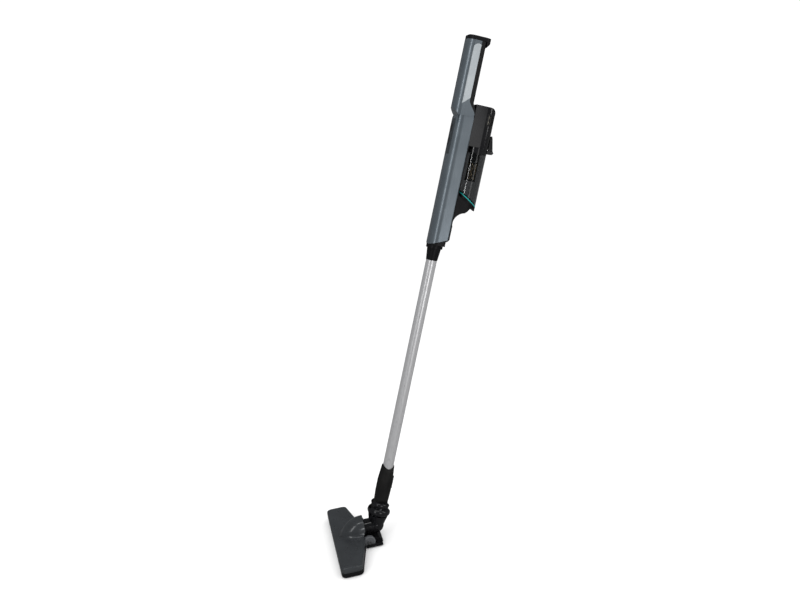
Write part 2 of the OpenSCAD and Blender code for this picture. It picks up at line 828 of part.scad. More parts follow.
// Two stacked rounded rings that form the ball of the neck joint
module knuckle() {
    color("#0a0b0c") on_wand() difference() {
        rotate_extrude() {
            translate([14, 7.5]) circle(6.3);
            translate([15.5, -8]) circle(8.8);
            translate([0, -knuckle_b]) square([17, knuckle_b + 11]);
        }
        cross_pin(drum_r + 0.5, drum_w + 2 * gap, 0, 0);
        translate([-2 * ball_r, -drum_w / 2 - gap, -6]) cube([4 * ball_r, drum_w + 2 * gap, 60]);
        post(drum_w / 2 - 1.5, 40, 0, -40);
        cross_pin(pin_r, 60, 0, 0);
    }
}

// Elbow from the knuckle down to the swivel spigot inside the hump
module elbow() {
    down = (neck_h - swivel_h) / cos(lean);
    color("#0c0d0e") difference() {
        union() {
            on_wand() translate([0, 0, -down])
                cylinder(h = down - knuckle_b, r1 = elbow_r - 2, r2 = elbow_r + 4);
            in_head() translate([neck_x, 0, swivel_h]) sphere(elbow_r);
            in_head() translate([-spigot_x, 0, swivel_h]) rotate([0, 90, 0])
                cylinder(h = spigot_x + neck_x, r = swivel_r);
        }
        on_wand() cross_pin(drum_r + 0.5, drum_w + 2 * gap, 0, 0);
        on_wand() translate([0, 0, -down]) cylinder(h = down, r = duct_r - 0.5);
        in_head() translate([-spigot_x - 1, 0, swivel_h]) rotate([0, 90, 0])
            cylinder(h = spigot_x + neck_x + 1, r = swivel_bore);
    }
}

// ---- floor head ----

function arc(cx, cy, r, a0, a1) =
    [for (i = [0:6]) let (a = a0 + (a1 - a0) * i / 6) [cx + r * cos(a), cy + r * sin(a)]];

// Plan of the head: straight front edge, rear edge widening towards the hump
function head_plan(inset) =
    let (
        y1 = head_w / 2 - corner_r, y2 = hump_r + 4,
        xf = -head_front + corner_r, xr = -head_front + end_depth - corner_r, xm = -hump_x - 5,
        r = corner_r - inset, rm = 3 - inset,
        taper = atan((xm + 3 - xr - corner_r) / (y1 - y2))
    )
    concat(arc(xf, -y1, r, 180, 270), arc(xr, -y1, r, 270, 360 - taper), arc(xm, -y2, rm, 360 - taper, 360),
        arc(xm, y2, rm, 0, taper), arc(xr, y1, r, taper, 90), arc(xf, y1, r, 90, 180));

module head_layer(z, inset) { translate([0, 0, z]) linear_extrude(0.1) polygon(head_plan(inset)); }

// Rounded half-cone over the swivel; inset makes the room inside it
module hump_form(inset) {
    r = hump_r - inset;
    hull() {
        translate([-hump_x - mouth_t, 0, swivel_h]) rotate([0, 90, 0])
            cylinder(h = mouth_t, r = r, $fn = 40);
        translate([-hump_x - mouth_t, -r, base_h]) cube([mouth_t, 2 * r, swivel_h - base_h]);
        translate([-hump_x - hump_l / 2, 0, swivel_h + 1]) sphere(20 - inset, $fn = 32);
        translate([-hump_x - hump_l, 0, head_h - 7]) sphere(9 - inset, $fn = 32);
    }
}

module wheel_wells() {
    for (s = [-1, 1]) translate([-wheel_x - well, s * wheel_y - well_w / 2 - 1, -1])
        cube([40, well_w + 2, 60]);
}

module head_screw_places() {
    for (s = [-1, 1], p = [[12, 124], [33, 124], [44, 52]])
        translate([p[0] - head_front, s * p[1], 0]) children();
}

module head_cover() {
    color("#4a4d50") in_head() difference() {
        union() {
            difference() {
                union() {
                    hull() {
                        head_layer(base_h, 0);
                        head_layer(head_h - bevel, 0);
                        head_layer(head_h - 0.1, bevel);
                    }
                    hump_form(0);
                }
                hull() {
                    head_layer(base_h - 1, wall);
                    head_layer(head_h - wall - 0.1, wall + 1);
                }
                hump_form(wall);
            }
            head_screw_places() translate([0, 0, base_h]) cylinder(h = head_h - base_h - 1, r = 3.2);
        }
        translate([-200, -200, -50]) cube([400, 400, 50 + base_h]);
        head_screw_places() translate([0, 0, base_h - 1]) cylinder(h = 8, r = 1.2, $fn = 24);
        translate([-hump_x - mouth_t, 0, swivel_h]) rotate([0, 90, 0])
            cylinder(h = 2 * mouth_t, r = hump_r - wall);
        translate([-hump_x - mouth_t, -hump_r + wall, base_h - 1])
            cube([2 * mouth_t, 2 * (hump_r - wall), swivel_h - base_h + 1]);
        wheel_wells();
    }
}

// Screws of the wheel bracket, through its tongue into the base
module bracket_screw_places() {
    for (s = [-1, 1]) translate([-hump_x - 10, s * 12, 0]) children();
}

module head_base() {
    rim = base_h - 0.1;
    color("#101112") in_head() difference() {
        union() {
            translate([0, 0, sole_h]) linear_extrude(rim - sole_h) difference() {
                polygon(head_plan(0.5));
                polygon(head_plan(0.5 + wall));
            }
            translate([0, 0, sole_h]) linear_extrude(wall) polygon(head_plan(0.5));
            head_screw_places() translate([0, 0, sole_h]) cylinder(h = rim - sole_h, r = 3.2);
            bracket_screw_places() translate([0, 0, sole_h]) cylinder(h = 3, r = 3.2);
            translate([-slot_x - slot_w / 2 - 2, -slot_l / 2 - 2, sole_h])
                cube([slot_w + 4, slot_l + 4, 6]);
        }
        suction_slot();
        head_screw_places() cylinder(h = 40, r = 1.2, $fn = 24);
        bracket_screw_places() translate([0, 0, sole_h + 0.2]) cylinder(h = 6, r = 1.2, $fn = 24);
        translate([-hump_x - 6, -hump_r + 1, sole_h + wall + 1]) cube([20, 2 * hump_r - 2, 20]);
        wheel_wells();
    }
}

module suction_slot() {
    translate([-slot_x - slot_w / 2, -slot_l / 2, -1]) cube([slot_w, slot_l, 40]);
}

// Sole with two runners, the suction slot and the grooves of the bristles
module sole_plate() {
    color("#2b2d2f") in_head() difference() {
        union() {
            translate([0, 0, 1]) linear_extrude(sole_h - 1.05) polygon(head_plan(2));
            for (x = [-head_front + 5, runner_x - 2])
                translate([x, -head_w / 2 + 22, 0]) cube([4, head_w - 44, 1 + eps]);
        }
        suction_slot();
        bristle_bars(0.05);
        head_screw_places() translate([0, 0, -1]) cylinder(h = 10, r = 2.5, $fn = 24);
        wheel_wells();
    }
}

module bristle_bars(room) {
    for (s = [-1, 1]) translate([-slot_x + s * (slot_w / 2 + 3.2) - 1.4 - room, -slot_l / 2 - room, 0.9])
        cube([2.8 + 2 * room, slot_l + 2 * room, 1.2 + room]);
}

// Two rows of bristle tufts in their carrier bars
module bristle_strips() {
    pitch = (slot_l - 6) / (bristle_n - 1);
    color("#5b6064") in_head() {
        bristle_bars(0);
        for (s = [-1, 1], i = [0:bristle_n - 1])
            translate([-slot_x + s * (slot_w / 2 + 3.2) - 0.8, -slot_l / 2 + 1.3 + i * pitch, 0.2])
                cube([1.6, 3.4, 0.8]);
    }
}

// Split bearing ring that holds the swivel spigot in the hump
module swivel_collar() {
    color("#0d0e0f") in_head() translate([-spigot_x, 0, swivel_h]) rotate([0, 90, 0]) difference() {
        union() {
            translate([0, 0, spigot_x - hump_x - mouth_t])
                cylinder(h = mouth_t - 0.5, r = hump_r - wall - 0.05);
            cylinder(h = spigot_x - hump_x + 1.5, r = swivel_r + 3);
        }
        translate([0, 0, -1]) cylinder(h = 20, r = swivel_r + 2 * fit);
    }
}

// Black tongue behind the head that carries the two wheels
module rear_bracket() {
    inner = wheel_y - well_w / 2 - 0.2;
    outer = wheel_y + well_w / 2 + 0.4;
    front = -hump_x - 1.9;
    color("#121314") in_head() difference() {
        union() {
            translate([front, -inner, 2.5]) cube([-front - heel_x - 8, 2 * inner, 4]);
            translate([-wheel_x + wheel_r + 2, -outer - 2, 2.5])
                cube([wheel_x - wheel_r - 10, 2 * outer + 4, 6.5]);
            side_prism([[-22, 2.5], [-22, 14], [-13, 14], [-heel_x, 8], [-heel_x, 4], [-heel_x - 2, 2.5]],
                2 * inner);
            for (s = [-1, 1]) {
                translate([front, s * (inner - 1.6) - 1.6, 2.5]) cube([-front - 13, 3.2, 8]);
                translate([0, s * (inner - 1.6), 0]) cross_pin(4.2, 3.2, -wheel_x, wheel_r);
                translate([front, s * (outer + 1) - 1, 2.5]) cube([-front - 10, 2, 5.5]);
            }
            translate([front, -18, 2.5]) cube([3, 36, 6.15]);
            translate([-hump_x - 14, -18, 6.05]) cube([hump_x + 17 + front, 36, 2.6]);
        }
        cross_pin(axle_r, 100, -wheel_x, wheel_r);
        bracket_screw_places() translate([0, 0, sole_h]) cylinder(h = 8, r = 1.3, $fn = 24);
    }
}

module wheel_axles() {
    color("#b9bcbe") in_head() for (s = [-1, 1]) translate([0, s * (wheel_y - 0.6), 0]) {
        cross_pin(axle_r, wheel_w + 7.4, -wheel_x, wheel_r);
        translate([0, s * (wheel_w / 2 + 3), 0]) cross_pin(3.4, 1.4, -wheel_x, wheel_r);
    }
}

// Wheel with a rounded tread and a recessed hub
module rear_wheel(side) {
    color("#8b9195") in_head() translate([-wheel_x, side * wheel_y, wheel_r]) rotate([90, 0, 0])
        rotate_extrude() {
            half = wheel_w / 2;
            polygon([[axle_r + fit, -half], [4.5, -half], [5, -half + 1.2], [9, -half + 1.2],
                [9.4, -half], [wheel_r - 1.6, -half], [wheel_r, -half + 1.6], [wheel_r, half - 1.6],
                [wheel_r - 1.6, half], [9.4, half], [9, half - 1.2], [5, half - 1.2], [4.5, half],
                [axle_r + fit, half]]);
        }
}
module rear_wheel_left() { rear_wheel(-1); }
module rear_wheel_right() { rear_wheel(1); }

module head_screws() {
    color("#b9bcbe") in_head() {
        head_screw_places() translate([0, 0, sole_h]) screw(1.2, 13);
        bracket_screw_places() translate([0, 0, 8.65]) rotate([180, 0, 0]) screw(1.2, 5.4);
    }
}

front_shell();
side_trim_left();
side_trim_right();
front_panel();
end_cap();
grip_back();
rear_spine();
motor_housing();
exhaust_grille();
exhaust_filter();
motor_can();
motor_mount();
impeller();
motor_shaft();
inlet_hood();
air_duct();
battery_cells();
battery_holder();
control_board();
charge_socket();
power_button();
mode_button();
handset_screws();
wand_socket();
release_button();
release_spring();
dust_cup();
cup_top_ring();
cup_seal();
cup_lid();
lid_pin();
filter_frame();
filter_element();
cup_latch();
latch_pin();
wand_collar();
wand_tube();
neck_sleeve();
sleeve_button();
knuckle_pin();
knuckle();
elbow();
swivel_collar();
head_cover();
head_base();
sole_plate();
bristle_strips();
rear_bracket();
wheel_axles();
rear_wheel_left();
rear_wheel_right();
head_screws();
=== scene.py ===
"""Looks of the cordless stick vacuum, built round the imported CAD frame."""

import json
import math

import bmesh
import bpy
from mathutils import Matrix, Vector


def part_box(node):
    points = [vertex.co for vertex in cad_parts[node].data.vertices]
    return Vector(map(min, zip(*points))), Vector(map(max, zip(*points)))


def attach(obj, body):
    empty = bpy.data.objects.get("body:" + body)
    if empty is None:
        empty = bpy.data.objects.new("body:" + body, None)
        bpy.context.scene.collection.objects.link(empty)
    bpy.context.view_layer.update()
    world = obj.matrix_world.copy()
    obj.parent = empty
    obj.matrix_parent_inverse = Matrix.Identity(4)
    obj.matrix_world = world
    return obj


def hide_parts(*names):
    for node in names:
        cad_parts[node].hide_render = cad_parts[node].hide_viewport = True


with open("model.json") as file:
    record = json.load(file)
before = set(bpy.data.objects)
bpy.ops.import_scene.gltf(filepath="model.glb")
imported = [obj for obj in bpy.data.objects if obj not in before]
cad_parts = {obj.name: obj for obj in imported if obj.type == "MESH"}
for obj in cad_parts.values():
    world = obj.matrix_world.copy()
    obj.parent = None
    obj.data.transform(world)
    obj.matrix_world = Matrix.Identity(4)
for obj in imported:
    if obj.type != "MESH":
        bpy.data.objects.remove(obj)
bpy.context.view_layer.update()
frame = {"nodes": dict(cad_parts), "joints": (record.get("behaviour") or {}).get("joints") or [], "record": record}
nodes = frame["nodes"]
record = frame["record"]
MM = 0.001


# ---- the wand's own frame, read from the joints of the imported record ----

def joint(name):
    return next(j for j in frame["joints"] if j["name"] == name)


HINGE = Vector(joint("neck_pitch")["pos_m"])
UP = -Vector(joint("wand_slide")["axis"])    # along the wand, away from the floor
REAR = Vector(joint("power_press")["axis"])  # square to the wand, towards the dust cup
HAND = Vector(next(m for m in record["mounts"] if m["name"] == "hand_grip")["pos_m"])
HAND_HEIGHT = 85 * MM                        # from the foot of the grip to the hand_grip mount
GRIP_FOOT = UP.dot(HAND - HINGE) - HAND_HEIGHT

# the soft coating's front edge: it runs forward over the first part of the grip
WRAP_START, WRAP_END = 3 * MM, 32 * MM       # heights above the foot of the grip
WRAP_BEHIND_START = 19.4 * MM                # how far it lies behind the hinge at the start
WRAP_BEHIND_END = 3.6 * MM                   # and from the end upwards
WRAP_BLACK = (0.007, 0.007, 0.0075, 1)
WRAP_ROUGHNESS = 0.5


# ---- materials ----

def new_material(name):
    mat = bpy.data.materials.new(name)
    mat.use_nodes = True
    tree = mat.node_tree
    return mat, tree, tree.nodes["Principled BSDF"]


def node(tree, kind, **inputs):
    made = tree.nodes.new(kind)
    for key, value in inputs.items():
        made.inputs[key.replace("_", " ")].default_value = value
    return made


def noise(tree, scale, detail=4.0, rough=0.55, stretch=(1, 1, 1)):
    """Noise over the object's own coordinates, in metres; returns its value socket."""
    coords = tree.nodes.new("ShaderNodeTexCoord")
    mapping = node(tree, "ShaderNodeMapping", Scale=stretch)
    tree.links.new(coords.outputs["Object"], mapping.inputs["Vector"])
    made = node(tree, "ShaderNodeTexNoise", Scale=scale, Detail=detail, Roughness=rough)
    tree.links.new(mapping.outputs["Vector"], made.inputs["Vector"])
    return made.outputs["Fac"]


def ramp(tree, source, low, high, at=(0.3, 0.7)):
    made = tree.nodes.new("ShaderNodeValToRGB")
    for stop, place, value in zip(made.color_ramp.elements, at, (low, high)):
        stop.position = place
        stop.color = (*value, 1) if isinstance(value, tuple) else (value, value, value, 1)
    tree.links.new(source, made.inputs["Fac"])
    return made.outputs["Color"]


def soft_edges(tree, radius=0.0005):
    """Normals that run softly round every edge, as on a moulded part."""
    made = node(tree, "ShaderNodeBevel", Radius=radius)
    made.samples = 4
    return made.outputs["Normal"]


def bump(tree, shader, source, strength, distance, radius=0.0005):
    made = node(tree, "ShaderNodeBump", Strength=strength, Distance=distance)
    tree.links.new(source, made.inputs["Height"])
    tree.links.new(soft_edges(tree, radius), made.inputs["Normal"])
    tree.links.new(made.outputs["Normal"], shader.inputs["Normal"])


def plastic(name, dark, light, rough=(0.35, 0.5), grain=1400.0, depth=0.00004, strength=0.35,
            coat=0.0, metallic=0.0, cloud=30.0, specular=0.3):
    """Moulded plastic: faint colour clouds, uneven gloss and a fine moulded grain."""
    mat, tree, shader = new_material(name)
    clouds = noise(tree, cloud, detail=3.0)
    tree.links.new(ramp(tree, clouds, dark, light), shader.inputs["Base Color"])
    tree.links.new(ramp(tree, noise(tree, cloud * 4), rough[0], rough[1]), shader.inputs["Roughness"])
    bump(tree, shader, noise(tree, grain, detail=2.0), strength, depth)
    shader.inputs["Metallic"].default_value = metallic
    shader.inputs["Specular IOR Level"].default_value = specular
    shader.inputs["Coat Weight"].default_value = coat
    shader.inputs["Coat Roughness"].default_value = 0.08
    return mat


def leather_grain(name, dark, light):
    """Black plastic with a pebbled, leather-like texture."""
    mat, tree, shader = new_material(name)
    coords = tree.nodes.new("ShaderNodeTexCoord")
    cells = node(tree, "ShaderNodeTexVoronoi", Scale=900.0)
    tree.links.new(coords.outputs["Object"], cells.inputs["Vector"])
    tree.links.new(ramp(tree, noise(tree, 40.0), dark, light), shader.inputs["Base Color"])
    tree.links.new(ramp(tree, noise(tree, 200.0), 0.42, 0.62), shader.inputs["Roughness"])
    bump(tree, shader, cells.outputs["Distance"], 0.5, 0.0001)
    shader.inputs["Specular IOR Level"].default_value = 0.25
    return mat


def metal(name, dark, light, rough=(0.22, 0.34), brush=(1, 1, 0.02), depth=0.00001,
          metallic=1.0):
    """Metal drawn along its length: long fine streaks in colour, gloss and height."""
    mat, tree, shader = new_material(name)
    streaks = noise(tree, 900.0, detail=6.0, stretch=brush)
    tree.links.new(ramp(tree, streaks, dark, light), shader.inputs["Base Color"])
    tree.links.new(ramp(tree, streaks, rough[0], rough[1]), shader.inputs["Roughness"])
    bump(tree, shader, streaks, 0.25, depth)
    shader.inputs["Metallic"].default_value = metallic
    return mat


def clear_plastic(name):
    """Smoky clear plastic with faint flow lines and a little dust haze."""
    mat, tree, shader = new_material(name)
    tree.links.new(ramp(tree, noise(tree, 60.0), (0.46, 0.47, 0.48), (0.54, 0.55, 0.56)),
                   shader.inputs["Base Color"])
    tree.links.new(ramp(tree, noise(tree, 90.0), 0.03, 0.1), shader.inputs["Roughness"])
    bump(tree, shader, noise(tree, 30.0, detail=1.0), 0.08, 0.0002)
    shader.inputs["Transmission Weight"].default_value = 1.0
    shader.inputs["IOR"].default_value = 1.45
    return mat


def math_node(tree, operation, first, second=None):
    """One Math node; each input is a socket or a number. Returns its value socket."""
    made = tree.nodes.new("ShaderNodeMath")
    made.operation = operation
    for place, value in enumerate((first, second)):
        if isinstance(value, (int, float)):
            made.inputs[place].default_value = value
        elif value is not None:
            tree.links.new(value, made.inputs[place])
    return made.outputs[0]


def soft_wrap(mat):
    """Soft black coating on the rear of the grip's sides; it runs out in the notch below."""
    tree = mat.node_tree
    shader = tree.nodes["Principled BSDF"]
    coords = tree.nodes.new("ShaderNodeTexCoord")
    spot = tree.nodes.new("ShaderNodeVectorMath")
    spot.operation = "SUBTRACT"
    spot.inputs[1].default_value = HINGE
    tree.links.new(coords.outputs["Object"], spot.inputs[0])

    def along(axis):
        made = tree.nodes.new("ShaderNodeVectorMath")
        made.operation = "DOT_PRODUCT"
        made.inputs[1].default_value = axis
        tree.links.new(spot.outputs["Vector"], made.inputs[0])
        return made.outputs["Value"]

    fall = tree.nodes.new("ShaderNodeMapRange")
    fall.interpolation_type = "SMOOTHSTEP"
    tree.links.new(along(UP), fall.inputs["Value"])
    fall.inputs["From Min"].default_value = GRIP_FOOT + WRAP_START
    fall.inputs["From Max"].default_value = GRIP_FOOT + WRAP_END
    fall.inputs["To Min"].default_value = WRAP_BEHIND_START
    fall.inputs["To Max"].default_value = WRAP_BEHIND_END
    behind = math_node(tree, "GREATER_THAN", along(REAR), fall.outputs["Result"])
    above = math_node(tree, "GREATER_THAN", along(UP), GRIP_FOOT + WRAP_START)
    mask = math_node(tree, "MULTIPLY", behind, above)
    even_gloss = (WRAP_ROUGHNESS, WRAP_ROUGHNESS, WRAP_ROUGHNESS, 1)
    for name, coated in (("Base Color", WRAP_BLACK), ("Roughness", even_gloss)):
        mixed = tree.nodes.new("ShaderNodeMix")
        mixed.data_type = "RGBA"
        tree.links.new(mask, mixed.inputs["Factor"])
        tree.links.new(shader.inputs[name].links[0].from_socket, mixed.inputs["A"])
        mixed.inputs["B"].default_value = coated
        tree.links.new(mixed.outputs["Result"], shader.inputs[name])
    for name in ("Metallic", "Coat Weight"):
        bare = math_node(tree, "SUBTRACT", 1.0, mask)
        tree.links.new(math_node(tree, "MULTIPLY", bare, shader.inputs[name].default_value),
                       shader.inputs[name])
    return mat


MATERIALS = {
    "grey_shell": soft_wrap(plastic("grey_shell", (0.135, 0.16, 0.182), (0.16, 0.187, 0.21),
                                    rough=(0.3, 0.36), grain=1200.0, depth=0.00001,
                                    strength=0.08, coat=0.3, metallic=0.7)),
    # the trim carries a lighter copy of the shell's grey: a painted highlight strip down the side of the grip
    "grip_trim": soft_wrap(plastic("grip_trim", (0.48, 0.52, 0.55), (0.54, 0.58, 0.6),
                                   rough=(0.28, 0.34), grain=1200.0, depth=0.00001,
                                   strength=0.08, coat=0.2, metallic=0.65)),
    "panel": plastic("panel", (0.035, 0.042, 0.048), (0.05, 0.058, 0.065),
                     rough=(0.35, 0.45), metallic=0.4),
    "buttons": plastic("buttons", (0.014, 0.014, 0.016), (0.022, 0.022, 0.025), rough=(0.4, 0.55)),
    "black_plastic": plastic("black_plastic", (0.004, 0.004, 0.0045), (0.007, 0.007, 0.008),
                             rough=(0.3, 0.42), specular=0.13),
    "soft_grip": leather_grain("soft_grip", (0.006, 0.006, 0.0065), (0.011, 0.011, 0.012)),
    "gloss_black": plastic("gloss_black", (0.004, 0.004, 0.0045), (0.007, 0.007, 0.008),
                           rough=(0.08, 0.16), grain=300.0, depth=0.00002, strength=0.1, coat=0.4),
    "grille": plastic("grille", (0.007, 0.007, 0.0075), (0.012, 0.012, 0.013), rough=(0.4, 0.55),
                      specular=0.2),
    "filter_foam": leather_grain("filter_foam", (0.42, 0.4, 0.33), (0.55, 0.52, 0.44)),
    "filter_paper": plastic("filter_paper", (0.42, 0.32, 0.19), (0.55, 0.44, 0.28),
                            rough=(0.75, 0.9)),
    "steel": metal("steel", (0.28, 0.28, 0.29), (0.4, 0.41, 0.42)),
    "fan": plastic("fan", (0.5, 0.5, 0.5), (0.6, 0.6, 0.6)),
    "duct": plastic("duct", (0.03, 0.03, 0.032), (0.045, 0.045, 0.05)),
    "cells": plastic("cells", (0.03, 0.14, 0.3), (0.05, 0.2, 0.4), rough=(0.2, 0.3)),
    "board": plastic("board", (0.01, 0.1, 0.045), (0.02, 0.15, 0.07), rough=(0.3, 0.4)),
    "clear_cup": clear_plastic("clear_cup"),
    "seal": plastic("seal", (0.0, 0.2, 0.19), (0.01, 0.28, 0.26), rough=(0.4, 0.55)),
    "tube_alu": metal("tube_alu", (0.5, 0.5, 0.51), (0.6, 0.6, 0.61),
                      rough=(0.26, 0.36), metallic=0.6),
    "sleeve": leather_grain("sleeve", (0.004, 0.004, 0.004), (0.009, 0.0085, 0.008)),
    "head_grey": plastic("head_grey", (0.034, 0.037, 0.04), (0.042, 0.046, 0.05),
                         rough=(0.27, 0.3), grain=1200.0, depth=0.00001,
                         strength=0.05, coat=0.5, metallic=0.3),
    "sole": plastic("sole", (0.02, 0.02, 0.022), (0.03, 0.03, 0.033)),
    "bristles": leather_grain("bristles", (0.05, 0.055, 0.06), (0.09, 0.095, 0.1)),
    "wheel_tread": plastic("wheel_tread", (0.055, 0.058, 0.063), (0.08, 0.084, 0.09),
                           rough=(0.4, 0.55)),
}


def paint(obj, slot_name):
    obj.data.materials.clear()
    obj.data.materials.append(MATERIALS[slot_name])


for part in record["subparts"]:
    paint(nodes[part["node"]], part["material_slot"])


# ---- rebuilt pieces ----

def add_mesh(name, verts, faces, slot_name, body, stands_for=(), levels=0):
    """A smooth mesh object that rides on a body and may stand for CAD nodes."""
    mesh = bpy.data.meshes.new(name)
    mesh.from_pydata([tuple(v) for v in verts], [], faces)
    mesh.validate()
    work = bmesh.new()
    work.from_mesh(mesh)
    bmesh.ops.remove_doubles(work, verts=work.verts, dist=0.02 * MM)
    bmesh.ops.recalc_face_normals(work, faces=work.faces)
    work.to_mesh(mesh)
    work.free()
    obj = bpy.data.objects.new(name, mesh)
    bpy.context.scene.collection.objects.link(obj)
    for face in mesh.polygons:
        face.use_smooth = True
    if levels:
        rounder = obj.modifiers.new("round", "SUBSURF")
        rounder.levels = rounder.render_levels = levels
    paint(obj, slot_name)
    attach(obj, body)
    if stands_for:
        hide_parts(*stands_for)
    return obj


HEAD_TAPER = 20 * MM        # the wings' rear edge runs forward by this much towards the ends
HEAD_BACK = 2 * MM          # from the cover's box to the rear edge next to the hump
HEAD_DECK = 12 * MM         # the flat top of the wings, above the cover's underside
HEAD_CORNER = 11 * MM       # corner radius seen from above
HEAD_RIM = 3 * MM           # how far the rounded rim stands out from the flat top
HEAD_WAIST = 28.5 * MM      # half width over which the rear edge stays straight
RIM_STEPS = ((1.5, 0.4), (2.5, 1.2), (2.95, 2.4), (3.0, 3.6), (3.0, 11.9))  # out and down, mm
SKIN = 1.6 * MM             # wall thickness of the cover
HUMP_REACH = 56 * MM        # length of the hump, from its mouth forwards
HUMP_HALF = 24.4 * MM       # half width of its mouth
HUMP_FLARE = 1.2 * MM       # extra half width, from a quarter of the way forwards
HUMP_FOOT = 1.5 * MM        # flat strip between the hump and the wing's grid
HUMP_POWER = 2.2            # roundness of the hump's outline seen from above
HUMP_FALL = 0.8             # how its ridge falls towards the front
ARCH_POWER = 0.8            # below 1 the hump's section is squarer than an ellipse


def head_edges(low, high, side):
    """Front and rear edge of the flat top at a distance to the side of the head's middle."""
    straight = high.y - HEAD_CORNER
    share = min(1.0, max(0.0, (side - HEAD_WAIST) / (straight - HEAD_WAIST)))
    rear = high.x - HEAD_BACK - share * HEAD_TAPER - HEAD_RIM
    inner = HEAD_CORNER - HEAD_RIM
    over = min(inner, max(0.0, side - straight))
    bend = inner - math.sqrt(inner ** 2 - over ** 2)
    return low.x + HEAD_RIM + bend, rear - bend


def hump_profile(station, low, mouth_x, peak):
    """Half width and height of the hump at a station: 0 is the front edge, 1 the mouth."""
    x = low.x + station * (mouth_x - low.x)
    u = min(1.0, max(0.0, (mouth_x - x) / HUMP_REACH))
    left = 1 - u ** HUMP_POWER
    width = HUMP_HALF * math.sqrt(left) + HUMP_FLARE * min(1.0, 4 * u)
    return width, peak * max(0.0, left) ** HUMP_FALL


def build_head_cover():
    """Head cover as one moulded skin: flat wings, rounded rim and a hump that flows into them."""
    low, high = (Vector(v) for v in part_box("head_cover"))
    deck = low.z + HEAD_DECK
    straight = high.y - HEAD_CORNER
    inner = HEAD_CORNER - HEAD_RIM
    stations, corner_n, wing_n, arch_n = 34, 7, 12, 22
    corner_sides = [straight + inner * math.cos(k / corner_n * math.pi / 2)
                    for k in range(corner_n)]
    rows = []
    for i in range(stations + 1):
        t = i / stations
        width, height = hump_profile(t, low, high.x, high.z - deck)
        step = (straight - width - HUMP_FOOT) / wing_n
        sides = corner_sides + [straight - k * step for k in range(wing_n + 1)]
        row = []
        for side in sides:
            front, rear = head_edges(low, high, side)
            row.append(Vector((front + t * (rear - front), -side, deck)))
        for k in range(1, arch_n):
            turn = math.pi * (1 - k / arch_n)
            across, rise = math.cos(turn), math.sin(turn)
            front = low.x + HEAD_RIM
            row.append(Vector((front + t * (high.x - front),
                               width * math.copysign(abs(across) ** ARCH_POWER, across),
                               deck + height * rise ** ARCH_POWER)))
        row += [Vector((v.x, -v.y, v.z)) for v in reversed(row[:len(sides)])]
        rows.append(row)
    n, wing = len(rows[0]), len(sides)
    verts = [v for row in rows for v in row]
    faces = [(i * n + j, i * n + j + 1, (i + 1) * n + j + 1, (i + 1) * n + j)
             for i in range(stations) for j in range(n - 1)]
    # the rim: from the hump round one wing, along the front and back round the other wing
    last = stations * n
    loop = ([last + j for j in range(wing - 1, -1, -1)]
            + [i * n for i in range(stations - 1, -1, -1)] + list(range(1, n))
            + [i * n + n - 1 for i in range(1, stations + 1)]
            + [last + j for j in range(n - 2, n - wing - 1, -1)])
    outwards = []
    for k in range(len(loop)):
        before = verts[loop[max(0, k - 1)]]
        after = verts[loop[min(len(loop) - 1, k + 1)]]
        outwards.append(Vector((before.y - after.y, after.x - before.x, 0)).normalized())
    previous = loop
    for out, down in RIM_STEPS:
        ring = []
        for k, way in zip(loop, outwards):
            ring.append(len(verts))
            spot = verts[k] + way * out * MM
            verts.append(Vector((spot.x, spot.y, deck - down * MM)))
        faces += [(previous[k], previous[k + 1], ring[k + 1], ring[k])
                  for k in range(len(loop) - 1)]
        previous = ring
    skin = add_mesh("head_skin", verts, faces, "head_grey", "head", ("head_cover",), levels=1)
    wall = skin.modifiers.new("wall", "SOLIDIFY")
    wall.thickness = SKIN
    wall.offset = -1
    return skin


BAR_WIDTH = 2.8 * MM        # carrier bar of the bristles
BAR_LIFT = 0.7 * MM         # its underside, above the tips
TUFTS = 46                  # tufts per bar
TUFT_MARGIN = 3 * MM        # from the bar's ends to the first and last tuft
FILAMENTS = 7               # per tuft: one in the middle and the rest in a ring round it
TUFT_RADIUS = 0.45 * MM
ROOT_LIFT = 0.8 * MM        # where the filaments start, above the tips
ROOT_STRETCH = 1.8          # the ring of roots is this much longer along the bar than across it
TIP_LEAN = 0.35             # the tips lean out this much across the bar, for 1 along it
ROOT_SIZE, TIP_SIZE = 0.16 * MM, 0.09 * MM  # radii of a filament
UNEVEN = 0.05 * MM          # step between the lengths of neighbouring filaments


